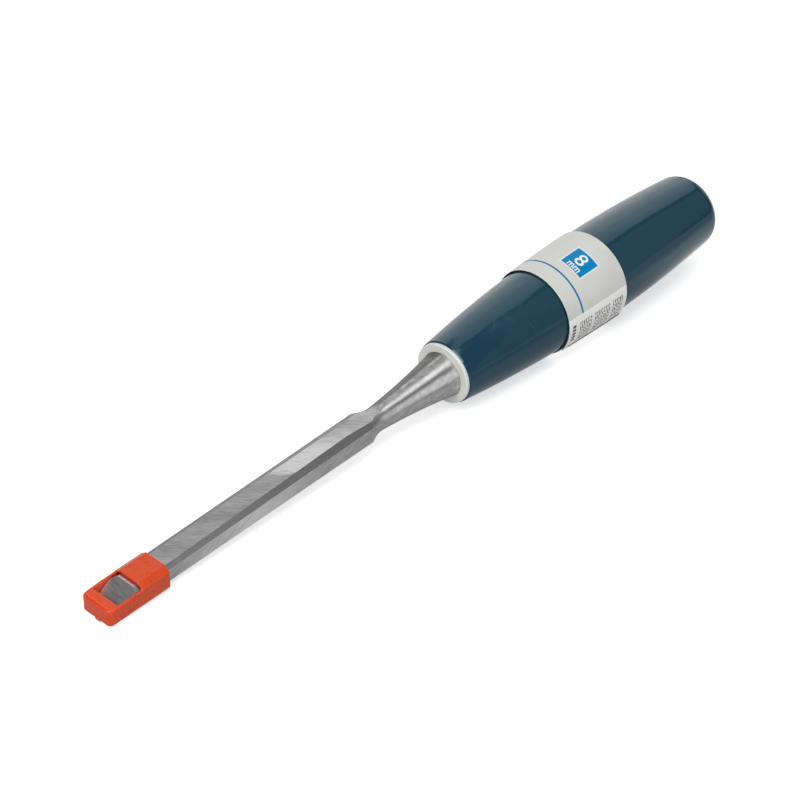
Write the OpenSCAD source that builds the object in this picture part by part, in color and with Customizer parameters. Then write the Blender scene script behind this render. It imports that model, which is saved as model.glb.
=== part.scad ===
// Bevel edge wood chisel with a turned handle and a push-on blade guard.
// Millimetres. The origin is the centre of the flat striking face on the butt.
// The tool runs along -X to its cutting edge and +Z is the bevelled side.

/* [Handle] */
// Length of the wood from the butt to the front face
handle_l = 104.5; // [95:0.5:130]
// Largest diameter of the barrel
belly_d = 25.2; // [24:0.2:32]
// Distance of the largest diameter from the butt
belly_at = 45.5; // [40:0.5:52]
// Diameter at the front face
front_d = 17.7; // [17.4:0.1:20]
// Radius of the rounded butt edge
butt_round = 4.2; // [2:0.1:5]
// Chamfer on the front edge
front_chamfer = 0.3; // [0.1:0.1:0.8]

/* [Ferrule] */
// Diameter of the flange that shows in front of the handle
flange_d = 17.1; // [16.4:0.1:17.3]
// Thickness of the flange
flange_t = 1; // [0.6:0.1:3]
// Rounding of the front edge of the flange
flange_round = 0.3; // [0.1:0.1:0.5]
// Diameter of the spigot inside the handle
spigot_d = 14.6; // [14.2:0.1:15]
// Length of the spigot
spigot_l = 8; // [5:0.5:15]
// Depth of the seat for the bolster
seat_depth = 2; // [1:0.1:4]

/* [Bolster] */
// Diameter of the bolster where it enters the ferrule
bolster_d = 12.7; // [11:0.1:13]
// Diameter of the neck
neck_d = 6.7; // [6.2:0.1:7.2]
// Distance of the neck in front of the ferrule
neck_at = 25.2; // [20:0.2:32]
// Radius of the hollow flare from neck to bolster
flare_r = 230; // [120:10:400]
// Radius of the throat from neck to shoulder
throat_r = 9; // [7:0.5:12]

/* [Blade] */
// Width of the blade
blade_w = 8; // [7.4:0.1:8.4]
// Length from the ferrule face to the cutting edge
blade_l = 117.8; // [95:0.2:150]
// Distance of the flat back below the tool axis
back_drop = 2.25; // [2:0.05:2.5]
// Thickness at the crown in front of the shoulder
crown_t = 5.5; // [5.3:0.05:5.7]
// Distance of the crown in front of the shoulder
crown_lead = 7; // [4:0.5:12]
// Thickness at the cutting edge before the edge is ground
tip_t = 3.9; // [3.5:0.05:4.3]
// Height of the side land at the shoulder
land_shoulder = 4.6; // [4.3:0.05:4.8]
// Height of the side land at the cutting edge
land_tip = 3.35; // [2.8:0.05:3.4]
// Slope of the two side bevels
side_bevel = 27; // [22:1:34]
// Slope of the cutting bevel
edge_angle = 30; // [25:1:35]
// Fall of the top face from the crown to the end of its tongue on the neck
tongue_drop = 0.2; // [0.15:0.05:0.4]
// Distance ahead of the neck where the tongue starts to run out
tongue_lead = 0.3; // [0:0.1:1.5]
// Radius of the wheel that ends the tongue
tongue_wheel = 6; // [3:0.5:12]
// Radius of the wheel that ends the flat back
back_wheel = 20; // [10:1:40]
// Distance of the end of the flat back ahead of the neck
back_lead = 1.8; // [0.5:0.1:3]

/* [Tang] */
// Length of the tang behind the bolster
tang_l = 56; // [40:1:70]
// Side of the square tang at its root
tang_root = 5; // [4:0.1:5.4]
// Side of the square tang at its end
tang_end = 3; // [2:0.1:3.6]

/* [Label] */
// Width of the band
label_w = 23.5; // [15:0.5:30]
// Distance of the rear edge of the band from the butt
label_at = 45.5; // [35:0.5:55]
// Thickness of the sheet
label_t = 0.2; // [0.15:0.05:0.4]
// Angle over which the band laps itself
label_lap = 30; // [15:5:60]
// Angle of the end of the sheet that stands off the handle
label_free = 55; // [30:5:90]
// Rise of the loose end at its rear corner
label_lift = 0.5; // [0.1:0.05:1]
// Rise of the loose end at its front corner
label_lift_front = 0.35; // [0.1:0.05:1]
// Direction of the loose end, turned from +Z towards +Y
label_seam = 231; // [0:1:359]

/* [Guard] */
// Length of the guard
guard_l = 19.2; // [16:0.2:30]
// Thickness of the side walls
guard_wall = 0.7; // [0.5:0.05:1.2]
// Thickness of the floor
guard_floor = 0.8; // [0.6:0.05:1.5]
// Thickness of the front wall
guard_front = 2.3; // [1.5:0.1:3.5]
// Height of the rim over the underside
rim_h = 4.8; // [4.4:0.1:5]
// Length of the bridge over the blade at the open end
bridge_l = 8.7; // [6:0.1:12]
// Rise of the bridge over the rim
bridge_h = 1.35; // [1.2:0.05:2]
// Radius of the upright front corners
guard_corner = 1.2; // [0.5:0.1:2]
// Diameter of the half-round moulding gate nub on the front
nub_d = 1.7; // [0.8:0.1:2.4]
// Height of the gate nub
nub_h = 0.35; // [0.2:0.05:0.6]
// Distance of the gate nub from the middle of the front
nub_off = 0.7; // [0:0.1:2]

/* [Clearances] */
// Gap between the bolster and its seat
seat_gap = 0.05; // [0.02:0.01:0.15]
// Gap between the spigot and the handle
spigot_gap = 0.05; // [0.02:0.01:0.15]
// Gap behind the end of the spigot
spigot_end_gap = 0.3; // [0.1:0.05:1]
// Gap between the corners of the tang and its bore
tang_gap = 0.1; // [0.05:0.01:0.3]
// Gap between the label and the belly
label_gap = 0.1; // [0.08:0.01:0.3]
// Film of glue between the two layers of the lap
label_glue = 0.05; // [0.03:0.01:0.1]
// Gap between the blade and the guard
guard_gap = 0.2; // [0.1:0.05:0.3]
// Gap between the cutting edge and the front wall
tip_gap = 0.3; // [0.2:0.05:1]

/* [Hidden] */
$fn = 96;
// Segments of the very large circles
arc_fn = 1440;
// Margin by which cutters pass the stock
over = 2;
// Depth by which one cut passes the next, so that the two cross
bite = 0.002;
// Stock left on the round bar outside the corners of the blade
bar_stock = 0.4;

// Barrel arc of the handle
belly_r = belly_d / 2;
barrel_rise = (belly_d - front_d) / 2;
barrel_run = handle_l - belly_at;
barrel_r = (barrel_run * barrel_run + barrel_rise * barrel_rise) / (2 * barrel_rise);
barrel_c = belly_r - barrel_r;
function barrel(d) = barrel_c + sqrt(barrel_r * barrel_r - (d - belly_at) * (d - belly_at));

// Centre of the butt rounding, and where it runs into the barrel
butt_c = barrel_c + sqrt(pow(barrel_r - butt_round, 2) - pow(butt_round - belly_at, 2));
butt_t = butt_round + butt_round * (butt_round - belly_at) / (barrel_r - butt_round);

// Stations along the tool, from the butt and from the ferrule face
ferrule_at = handle_l + flange_t;
base_at = ferrule_at - seat_depth;
function ahead(a) = -(ferrule_at + a);

// Flare of the bolster, an arc through its base and the neck
bolster_r = bolster_d / 2;
neck_r = neck_d / 2;
flare_chord = sqrt(pow(bolster_r - neck_r, 2) + neck_at * neck_at);
flare_off = sqrt(flare_r * flare_r - flare_chord * flare_chord / 4);
flare_x = (bolster_r + neck_r) / 2 + flare_off * neck_at / flare_chord;
flare_y = neck_at / 2 + flare_off * (bolster_r - neck_r) / flare_chord;

// Throat, an arc that leaves the flare smoothly at the neck
throat_x = neck_r + throat_r * (flare_x - neck_r) / flare_r;
throat_y = neck_at + throat_r * (flare_y - neck_at) / flare_r;
bar_r = norm([blade_w / 2, max(back_drop, land_shoulder - back_drop)]) + bar_stock;
shoulder_at = throat_y + sqrt(throat_r * throat_r - pow(throat_x - bar_r, 2));

// Ground faces of the blade
crown_at = shoulder_at + crown_lead;
crown_z = crown_t - back_drop;
tip_z = tip_t - back_drop;
top_slope = (crown_z - tip_z) / (blade_l - crown_at);
function top_z(a) = tip_z + top_slope * (blade_l - a);
land_slope = (land_shoulder - land_tip) / (blade_l - shoulder_at);
function land_z(a) = land_tip - back_drop + land_slope * (blade_l - a);
tongue_at = neck_at + tongue_lead;
tongue_z = crown_z - tongue_drop;
tongue_run = norm([crown_at - tongue_at, tongue_drop]);
back_at = neck_at + back_lead;

// Guard round the end of the blade
guard_at = blade_l + tip_gap + guard_front;
guard_end = guard_at - guard_l;
cavity_at = guard_at - guard_front;
bridge_at = guard_end + bridge_l;
in_y = blade_w / 2 + guard_gap;
in_z = -back_drop - guard_gap;
out_y = in_y + guard_wall;
out_z = in_z - guard_floor;
rim_z = out_z + rim_h;
in_top = top_z(guard_end) + guard_gap;
in_land = land_z(guard_end) + guard_gap / cos(side_bevel) - guard_gap * tan(side_bevel);
in_flat = in_y - (in_top - in_land) / tan(side_bevel);

// Label, a sheet rolled round the barrel whose outer end stands off
label_turn = 360 + label_lap;
label_steps = 66;
label_rows = 3;
function sheet_turn(i) = label_turn * i / label_steps;
function sheet_at(j) = label_at + label_w * j / label_rows;
function sheet_lift(t, d) =
    let (free = max(0, t - label_turn + label_free) / label_free)
    let (front = (d - label_at) / label_w)
    free * free * (label_lift + (label_lift_front - label_lift) * front);
function sheet_r(t, d) =
    barrel(d) + label_gap + (label_t + label_glue) * t / 360 + sheet_lift(t, d);
function sheet_point(i, j, k) =
    let (t = sheet_turn(i), d = sheet_at(j))
    let (q = label_seam + label_turn - t, r = sheet_r(t, d) + k * label_t)
    [r * cos(q), r * sin(q), d];
function sheet_id(i, j, k) = (i * (label_rows + 1) + j) * 2 + k;
function quad(a, b, c, d) = [[a, b, c], [a, c, d]];

// Turns a profile of radius and distance from the butt about the tool axis
module turned() {
    rotate([0, -90, 0])
    rotate_extrude()
    children();
}

// Runs a profile of X and Z across the tool
module across(width) {
    rotate([90, 0, 0])
    linear_extrude(height = width, center = true)
    children();
}

// Runs a section of Z and Y along the tool between two stations ahead of the ferrule
module along(from, to) {
    rotate([0, -90, 0])
    translate([0, 0, ferrule_at + from])
    linear_extrude(height = to - from)
    children();
}

module barrel_profile() {
    // Barrel in front of the butt rounding
    intersection() {
        polygon([[0, butt_t], [belly_r + 1, butt_t], [belly_r + 1, handle_l], [0, handle_l]]);
        translate([barrel_c, belly_at]) circle(r = barrel_r, $fn = arc_fn);
    }
    // Flat striking face
    square([butt_c, butt_t]);
    // Rounded edge of the butt
    intersection() {
        translate([butt_c, -1]) square([butt_round + 1, butt_t + 1]);
        translate([butt_c, butt_round]) circle(r = butt_round);
    }
}

module handle() {
    color("#24424f")
    difference() {
        turned() difference() {
            barrel_profile();
            // Chamfer at the front edge
            polygon([
                [front_d / 2 - front_chamfer, handle_l],
                [front_d / 2 + over, handle_l - front_chamfer - over],
                [front_d / 2 + over, handle_l + over],
                [front_d / 2 - front_chamfer, handle_l + over]
            ]);
            // Counterbore for the ferrule's spigot
            translate([-1, handle_l - spigot_l - spigot_end_gap])
            square([1 + spigot_d / 2 + spigot_gap, spigot_l + spigot_end_gap + over]);
        }
        // Tapered bore that takes the tang
        tang_bore();
    }
}

// Bore with the tang's taper, just larger than its corners
module tang_bore() {
    root = tang_root * sqrt(2) / 2 + tang_gap;
    tip = tang_end * sqrt(2) / 2 + tang_gap;
    rotate([0, -90, 0])
    translate([0, 0, base_at - tang_l - tang_gap])
    cylinder(r1 = tip, r2 = root, h = tang_l + tang_gap);
}

module ferrule() {
    color("#d0d2cc")
    difference() {
        turned() difference() {
            union() {
                // Flange against the front of the handle
                translate([0, handle_l]) square([flange_d / 2 - flange_round, flange_t]);
                translate([0, handle_l]) square([flange_d / 2, flange_t - flange_round]);
                // Rounded front edge
                intersection() {
                    translate([flange_d / 2 - flange_round, ferrule_at - flange_round])
                    square(flange_round + 1);
                    translate([flange_d / 2 - flange_round, ferrule_at - flange_round])
                    circle(r = flange_round);
                }
                // Spigot in the handle
                translate([0, handle_l - spigot_l]) square([spigot_d / 2, spigot_l]);
            }
            // Seat for the base of the bolster
            translate([-1, base_at]) square([1 + bolster_r + seat_gap, seat_depth + over]);
        }
        // Passage for the tang
        tang_bore();
    }
}

// Forged and turned blank before the flats are ground
module blank_profile() {
    // Bolster, hollowed by its flare as far as the neck
    difference() {
        translate([0, base_at]) square([bolster_r, seat_depth + neck_at]);
        translate([flare_x, ferrule_at + flare_y]) circle(r = flare_r, $fn = arc_fn);
        throat_disc();
    }
    // Round bar, hollowed by its throat
    difference() {
        translate([0, ferrule_at + neck_at]) square([bar_r, blade_l - neck_at + over]);
        throat_disc();
    }
}

module throat_disc() {
    translate([throat_x - bite, ferrule_at + throat_y]) circle(r = throat_r, $fn = 180);
}

// Stock above the top face and its tongue on the neck
module top_grind() {
    across(4 * bar_r) {
        polygon([
            [ahead(blade_l + 2 * over), top_z(blade_l + 2 * over)],
            [ahead(crown_at), crown_z],
            [ahead(tongue_at), tongue_z],
            [ahead(tongue_at), crown_z + 2 * bar_r],
            [ahead(blade_l + 2 * over), crown_z + 2 * bar_r]
        ]);
        // Wheel that lifts out of the neck
        translate([
            ahead(tongue_at) + tongue_wheel * tongue_drop / tongue_run,
            tongue_z - bite + tongue_wheel * (crown_at - tongue_at) / tongue_run
        ])
        circle(r = tongue_wheel, $fn = 180);
    }
}

// Stock below the flat back
module back_grind() {
    across(4 * bar_r) {
        translate([ahead(blade_l + 2 * over), -back_drop - 2 * bar_r])
        square([blade_l + 2 * over - back_at, 2 * bar_r]);
        // Wheel that lifts out under the bolster
        translate([ahead(back_at), bite - back_drop - back_wheel]) circle(r = back_wheel, $fn = 360);
    }
}

// Stock outside one side land and its bevel
module side_grind() {
    translate([ahead(blade_l + 2 * over), -blade_w / 2 - 2 * bar_r, -2 * bar_r])
    cube([blade_l + 2 * over - neck_at, 2 * bar_r, 4 * bar_r]);
    translate([ahead(blade_l), -blade_w / 2, land_tip - back_drop])
    rotate([0, -atan(land_slope), 0])
    rotate([side_bevel, 0, 0])
    translate([-2 * over, -2 * bar_r, 0])
    cube([blade_l + 2 * over - neck_at, 4 * bar_r, 2 * bar_r]);
}

// Stock above the cutting bevel
module edge_grind() {
    translate([ahead(blade_l), 0, -back_drop])
    rotate([0, -edge_angle, 0])
    translate([-4 * bar_r, -2 * bar_r, 0])
    cube([8 * bar_r, 4 * bar_r, 4 * bar_r]);
}

// Square tang that tapers to its end inside the handle
module tang() {
    intersection() {
        across(2 * tang_root) tang_side();
        rotate([90, 0, 0]) across(2 * tang_root) tang_side();
    }
}

module tang_side() {
    polygon([
        [-base_at, -tang_root / 2],
        [-base_at, tang_root / 2],
        [-base_at + tang_l, tang_end / 2],
        [-base_at + tang_l, -tang_end / 2]
    ]);
}

module blade() {
    color("#9a9a9a") {
        difference() {
            turned() blank_profile();
            top_grind();
            back_grind();
            side_grind();
            mirror([0, 1, 0]) side_grind();
            edge_grind();
        }
        tang();
    }
}

module label() {
    m = label_rows;
    n = label_steps;
    outer = [for (i = [0 : n - 1], j = [0 : m - 1]) each quad(
        sheet_id(i, j, 1), sheet_id(i + 1, j, 1), sheet_id(i + 1, j + 1, 1), sheet_id(i, j + 1, 1)
    )];
    inner = [for (i = [0 : n - 1], j = [0 : m - 1]) each quad(
        sheet_id(i, j + 1, 0), sheet_id(i + 1, j + 1, 0), sheet_id(i + 1, j, 0), sheet_id(i, j, 0)
    )];
    rear = [for (i = [0 : n - 1]) each quad(
        sheet_id(i, 0, 0), sheet_id(i + 1, 0, 0), sheet_id(i + 1, 0, 1), sheet_id(i, 0, 1)
    )];
    front = [for (i = [0 : n - 1]) each quad(
        sheet_id(i, m, 0), sheet_id(i, m, 1), sheet_id(i + 1, m, 1), sheet_id(i + 1, m, 0)
    )];
    start = [for (j = [0 : m - 1]) each quad(
        sheet_id(0, j, 0), sheet_id(0, j, 1), sheet_id(0, j + 1, 1), sheet_id(0, j + 1, 0)
    )];
    finish = [for (j = [0 : m - 1]) each quad(
        sheet_id(n, j, 0), sheet_id(n, j + 1, 0), sheet_id(n, j + 1, 1), sheet_id(n, j, 1)
    )];
    color("#c8c8c2")
    rotate([0, -90, 0])
    polyhedron(
        points = [for (i = [0 : n], j = [0 : m], k = [0, 1]) sheet_point(i, j, k)],
        faces = concat(outer, inner, rear, front, start, finish)
    );
}

// Outline of the guard seen from above, with round front corners
module guard_plan() {
    long = guard_l - guard_corner;
    translate([ahead(guard_end) - long, -out_y]) square([long, 2 * out_y]);
    translate([ahead(guard_at), guard_corner - out_y]) square([guard_corner, 2 * (out_y - guard_corner)]);
    for (side = [-1, 1]) {
        intersection() {
            translate([ahead(guard_at) - 1, side > 0 ? out_y - guard_corner : -out_y - 1])
            square([1 + guard_corner, 1 + guard_corner]);
            translate([ahead(guard_at) + guard_corner, side * (out_y - guard_corner)])
            circle(r = guard_corner);
        }
    }
}

module blade_guard() {
    color("#e84e2a")
    difference() {
        union() {
            // Tray with a closed front
            translate([0, 0, out_z]) linear_extrude(height = rim_h) guard_plan();
            // Bridge over the blade at the open end
            along(guard_end, bridge_at)
            polygon([
                [out_z, -out_y],
                [rim_z, -out_y],
                [rim_z + bridge_h, -in_flat - guard_wall / 2],
                [rim_z + bridge_h, in_flat + guard_wall / 2],
                [rim_z, out_y],
                [out_z, out_y]
            ]);
            // Half-round gate nub at the foot of the front
            along(guard_at, guard_at + nub_h)
            translate([out_z, -nub_off])
            intersection() {
                circle(d = nub_d);
                translate([0, -nub_d]) square([nub_d, 2 * nub_d]);
            }
        }
        // Space for the blade
        along(guard_end - over, cavity_at)
        polygon([
            [in_z, -in_y],
            [in_land, -in_y],
            [in_top, -in_flat],
            [in_top, in_flat],
            [in_land, in_y],
            [in_z, in_y]
        ]);
        // Open top in front of the bridge
        along(bridge_at, cavity_at)
        translate([0, -in_y])
        square([rim_z + over, 2 * in_y]);
    }
}

handle();
ferrule();
blade();
label();
blade_guard();
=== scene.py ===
"""Bevel edge wood chisel with a lacquered handle, a pale ferrule, a ground blade, a printed band and a guard.

Lengths are in metres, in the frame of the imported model: the origin is the centre of the striking face, the
tool runs along -X to its cutting edge, and +Z is the bevelled side. Angles are in degrees.
"""

from __future__ import annotations

import logging
import math
from dataclasses import dataclass
from enum import Enum

import bmesh
import bpy
from mathutils import Matrix, Vector

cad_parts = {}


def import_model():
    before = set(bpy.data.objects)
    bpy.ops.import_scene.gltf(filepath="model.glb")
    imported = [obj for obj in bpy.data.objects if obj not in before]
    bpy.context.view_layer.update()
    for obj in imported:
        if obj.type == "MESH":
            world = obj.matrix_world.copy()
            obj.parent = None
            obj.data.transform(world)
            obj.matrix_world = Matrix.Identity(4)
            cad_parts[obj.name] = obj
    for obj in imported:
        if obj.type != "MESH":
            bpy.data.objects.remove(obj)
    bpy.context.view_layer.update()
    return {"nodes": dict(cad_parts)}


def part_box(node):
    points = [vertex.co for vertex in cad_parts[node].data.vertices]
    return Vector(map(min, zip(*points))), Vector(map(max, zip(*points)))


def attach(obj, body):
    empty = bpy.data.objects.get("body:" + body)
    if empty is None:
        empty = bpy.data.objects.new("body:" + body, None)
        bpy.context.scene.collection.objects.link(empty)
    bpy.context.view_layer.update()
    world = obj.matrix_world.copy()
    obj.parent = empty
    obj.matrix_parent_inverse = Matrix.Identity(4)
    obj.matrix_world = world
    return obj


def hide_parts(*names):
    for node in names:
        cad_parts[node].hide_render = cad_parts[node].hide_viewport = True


Colour = tuple[float, float, float]
Triple = tuple[float, float, float]
Object = bpy.types.Object
Material = bpy.types.Material
Socket = bpy.types.NodeSocket
Value = float | Triple | Socket
Key = str | int

LOG = logging.getLogger("chisel")
MM = 0.001
WELD = 0.0005 * MM
NOISE_LOW = 0.3
NOISE_HIGH = 0.7
PLASTIC_IOR = 1.5
# Colour sockets of a mix node, by number.
MIX_FIRST = 6
MIX_SECOND = 7
MIX_RESULT = 2
UNIT: Triple = (1.0, 1.0, 1.0)
UNTURNED: Triple = (0.0, 0.0, 0.0)


def grey(tone: float) -> Colour:
    """Returns a neutral colour of one tone."""
    return (tone, tone, tone)


def scaled(colour: Colour, factor: float) -> Colour:
    """Returns a colour made lighter or darker by a factor."""
    return (colour[0] * factor, colour[1] * factor, colour[2] * factor)


def grain(length: float, width: float) -> Triple:
    """Returns the size of one grain in metres, from its length along X and its width in millimetres."""
    return (length * MM, width * MM, width * MM)


def opaque(value: Value) -> Value | tuple[float, ...]:
    """Returns a colour with full opacity, or any other value as it is."""
    return (*value, 1.0) if isinstance(value, tuple) else value


def add_node(
    tree: bpy.types.NodeTree, kind: str, result: Key, inputs: dict[Key, Value], **settings: str
) -> Socket:
    """Adds a node to a tree.

    Args:
        tree: Tree of a material or lamp.
        kind: Type of the node, without its prefix.
        result: Output to return.
        inputs: Links and constants by input.
        **settings: Choices of the node by name.

    Returns:
        The output.
    """
    node = tree.nodes.new(f"ShaderNode{kind}")
    for name, choice in settings.items():
        setattr(node, name, choice)
    for key, value in inputs.items():
        if isinstance(value, Socket):
            tree.links.new(value, node.inputs[key])
        else:
            node.inputs[key].default_value = value
    return node.outputs[result]


class Graph:
    """Node tree of one procedural material."""

    def __init__(self, name: str) -> None:
        """Starts a material with one principled shader.

        Args:
            name: Name of the material.
        """
        self.material = bpy.data.materials.new(name)
        self.material.use_nodes = True
        self.tree = self.material.node_tree
        self.shader = self.tree.nodes["Principled BSDF"]
        self.place = add_node(self.tree, "TexCoord", "Object", {})

    def set(self, **values: float | Colour) -> None:
        """Sets constants on the shader by the names of its inputs, with underscores for spaces."""
        for name, value in values.items():
            self.shader.inputs[name.replace("_", " ")].default_value = opaque(value)

    def feed(self, name: str, source: Socket) -> None:
        """Links a pattern to a shader input by its name."""
        self.tree.links.new(source, self.shader.inputs[name])

    def aligned(self, size: Triple, turn: Triple) -> Socket:
        """Returns the object's coordinates, turned and stretched so that one unit is one grain."""
        inputs = {"Vector": self.place, "Rotation": [math.radians(angle) for angle in turn], "Scale": size}
        return add_node(self.tree, "Mapping", "Vector", inputs, vector_type="TEXTURE")

    def noise(self, size: Triple, turn: Triple = UNTURNED, detail: float = 2.0, rough: float = 0.5) -> Socket:
        """Returns a noise pattern, whose values lie mostly between NOISE_LOW and NOISE_HIGH."""
        inputs = {"Vector": self.aligned(size, turn), "Scale": 1.0, "Detail": detail, "Roughness": rough}
        return add_node(self.tree, "TexNoise", "Fac", inputs)

    def spots(self, size: Triple) -> Socket:
        """Returns the distance to the nearest of scattered points, one per grain."""
        inputs = {"Vector": self.aligned(size, UNTURNED), "Scale": 1.0}
        return add_node(self.tree, "TexVoronoi", "Distance", inputs)

    def distance(self, spot: Triple) -> Socket:
        """Returns the distance from a point of the object."""
        return add_node(self.tree, "VectorMath", "Value", {0: self.place, 1: spot}, operation="DISTANCE")

    def round_x(self) -> Socket:
        """Returns the direction round the X axis, along which a lathe leaves its marks."""
        return add_node(self.tree, "Tangent", "Tangent", {}, direction_type="RADIAL", axis="X")

    def axis(self, where: Socket, letter: str) -> Socket:
        """Returns one coordinate of a vector, by its letter."""
        return add_node(self.tree, "SeparateXYZ", letter, {"Vector": where})

    def remap(self, value: Socket, low: float, high: float, start: float, end: float) -> Socket:
        """Returns values mapped so that low becomes start and high becomes end, and clamped between them."""
        inputs = {"Value": value, "From Min": low, "From Max": high, "To Min": start, "To Max": end}
        return add_node(self.tree, "MapRange", "Result", inputs)

    def spread(self, noise: Socket, start: float = 0.0, end: float = 1.0) -> Socket:
        """Returns a noise pattern mapped from its usual range to another."""
        return self.remap(noise, NOISE_LOW, NOISE_HIGH, start, end)

    def combine(self, first: Socket, second: Socket | float, operation: str = "ADD") -> Socket:
        """Returns two patterns, or a pattern and a constant, combined by an arithmetic operation."""
        return add_node(self.tree, "Math", "Value", {0: first, 1: second}, operation=operation)

    def blend(self, share: Socket, first: Colour | Socket, second: Colour | Socket) -> Socket:
        """Returns a mix of two colours, of which the second has the given share."""
        inputs = {"Factor": share, MIX_FIRST: opaque(first), MIX_SECOND: opaque(second)}
        return add_node(self.tree, "Mix", MIX_RESULT, inputs, data_type="RGBA")

    def bump(self, height: Socket, depth: float, below: Socket | None = None) -> Socket:
        """Adds relief to the surface normal.

        Args:
            height: Relief pattern.
            depth: Depth of the relief between the values 0 and 1.
            below: Normal of a coarser relief underneath.

        Returns:
            The normal with the relief.
        """
        inputs = {"Distance": depth, "Height": height}
        if below is not None:
            inputs["Normal"] = below
        return add_node(self.tree, "Bump", "Normal", inputs)


@dataclass(frozen=True)
class Lacquer:
    """Thick glossy lacquer over turned wood, slightly wavy, with dust nibs, and scratched at two knocks."""

    name: str = "handle_lacquer"
    colour: Colour = (0.0145, 0.0560, 0.0890)
    deep: Colour = (0.0120, 0.0480, 0.0790)
    cloud: Triple = grain(30, 9)
    glint: Colour = (0.74, 0.97, 1.0)
    gloss: float = 0.045
    haze: float = 0.10
    smear: Triple = grain(6, 1.5)
    smear_turn: Triple = (0, 0, 20)
    smear_from: float = 0.35
    smear_to: float = 0.75
    wave: Triple = grain(16, 5)
    wave_depth: float = 0.16 * MM
    peel: Triple = grain(0.9, 0.9)
    peel_depth: float = 0.0020 * MM
    nib: Triple = grain(5, 4)
    nib_top: float = 0.05
    nib_foot: float = 0.09
    nib_depth: float = 0.020 * MM
    knocks: tuple[Triple, Triple] = ((-88.0 * MM, -3.6 * MM, 9.6 * MM), (-80.0 * MM, -7.2 * MM, 8.6 * MM))
    knock_reach: float = 7.0 * MM
    knock_haze: float = 0.10
    dent_depth: float = 0.15 * MM
    scratch: Triple = grain(0.35, 7)
    scratch_turn: Triple = (0, 0, 25)
    scratch_from: float = 0.63
    scratch_to: float = 0.72
    scratch_share: float = 0.22
    rubbed: Colour = (0.12, 0.19, 0.23)

    def build(self) -> Material:
        """Builds the material.

        Returns:
            The material.
        """
        graph = Graph(self.name)
        worn = self.worn(graph)
        colour = graph.blend(graph.spread(graph.noise(self.cloud, detail=3.0)), self.deep, self.colour)
        lines = graph.noise(self.scratch, self.scratch_turn)
        scratches = graph.remap(lines, self.scratch_from, self.scratch_to, 0, self.scratch_share)
        graph.feed("Base Color", graph.blend(graph.combine(scratches, worn, "MULTIPLY"), colour, self.rubbed))
        smear = graph.noise(self.smear, self.smear_turn, detail=4.0, rough=0.6)
        hazy = graph.remap(smear, self.smear_from, self.smear_to, self.gloss, self.haze)
        graph.feed("Roughness", graph.combine(hazy, graph.combine(worn, self.knock_haze, "MULTIPLY")))
        normal = graph.bump(graph.noise(self.wave, detail=1.5), self.wave_depth)
        normal = graph.bump(graph.noise(self.peel, detail=1.0), self.peel_depth, normal)
        nibs = graph.remap(graph.spots(self.nib), self.nib_top, self.nib_foot, 1, 0)
        normal = graph.bump(nibs, self.nib_depth, normal)
        normal = graph.bump(graph.combine(smear, worn, "MULTIPLY"), self.dent_depth, normal)
        graph.feed("Normal", normal)
        graph.set(IOR=PLASTIC_IOR, Specular_Tint=self.glint)
        return graph.material

    def worn(self, graph: Graph) -> Socket:
        """Returns the share of wear, 1 at each of the two knocks and 0 away from them."""
        first, second = (graph.remap(graph.distance(spot), 0, self.knock_reach, 1, 0) for spot in self.knocks)
        return graph.combine(first, second, "MAXIMUM")


@dataclass(frozen=True)
class Moulding:
    """Injection moulded plastic with faint flow lines and a fine skin."""

    name: str
    colour: Colour
    shade: Colour
    gloss: float
    haze: float
    flow: Triple = grain(9, 4)
    flow_turn: Triple = (0, 0, 25)
    rub: Triple = grain(5, 2.5)
    rub_turn: Triple = (0, 0, -30)
    skin: Triple = grain(0.5, 0.5)
    skin_depth: float = 0.0015 * MM
    scatter: float = 0.0
    scatter_depth: float = 0.6 * MM

    def build(self) -> Material:
        """Builds the material.

        Returns:
            The material.
        """
        graph = Graph(self.name)
        flow = graph.noise(self.flow, self.flow_turn)
        graph.feed("Base Color", graph.blend(graph.spread(flow), self.shade, self.colour))
        rub = graph.noise(self.rub, self.rub_turn)
        graph.feed("Roughness", graph.spread(rub, self.gloss, self.haze))
        graph.feed("Normal", graph.bump(graph.noise(self.skin, detail=1.0), self.skin_depth))
        graph.set(IOR=PLASTIC_IOR)
        if self.scatter > 0:
            graph.set(Subsurface_Weight=self.scatter, Subsurface_Scale=self.scatter_depth)
        return graph.material


@dataclass(frozen=True)
class PaintedHighlight:
    """Painted highlight: a brighter band of a ground face, standing in for the reflection of a lamp.

    It lies between lines across the Y axis of turned coordinates. The four lines are in millimetres: the
    brightness rises over the first two, and falls over the last two.
    """

    turn: Triple
    lines: tuple[float, float, float, float]
    colour: Colour
    ragged: float = 1.2 * MM
    # Share of the painted highlight's brightness kept where the streaks are dark.
    worn: float = 0.82
    dimmed_to: float = 0.35
    bright_from: float = 0.65


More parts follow.
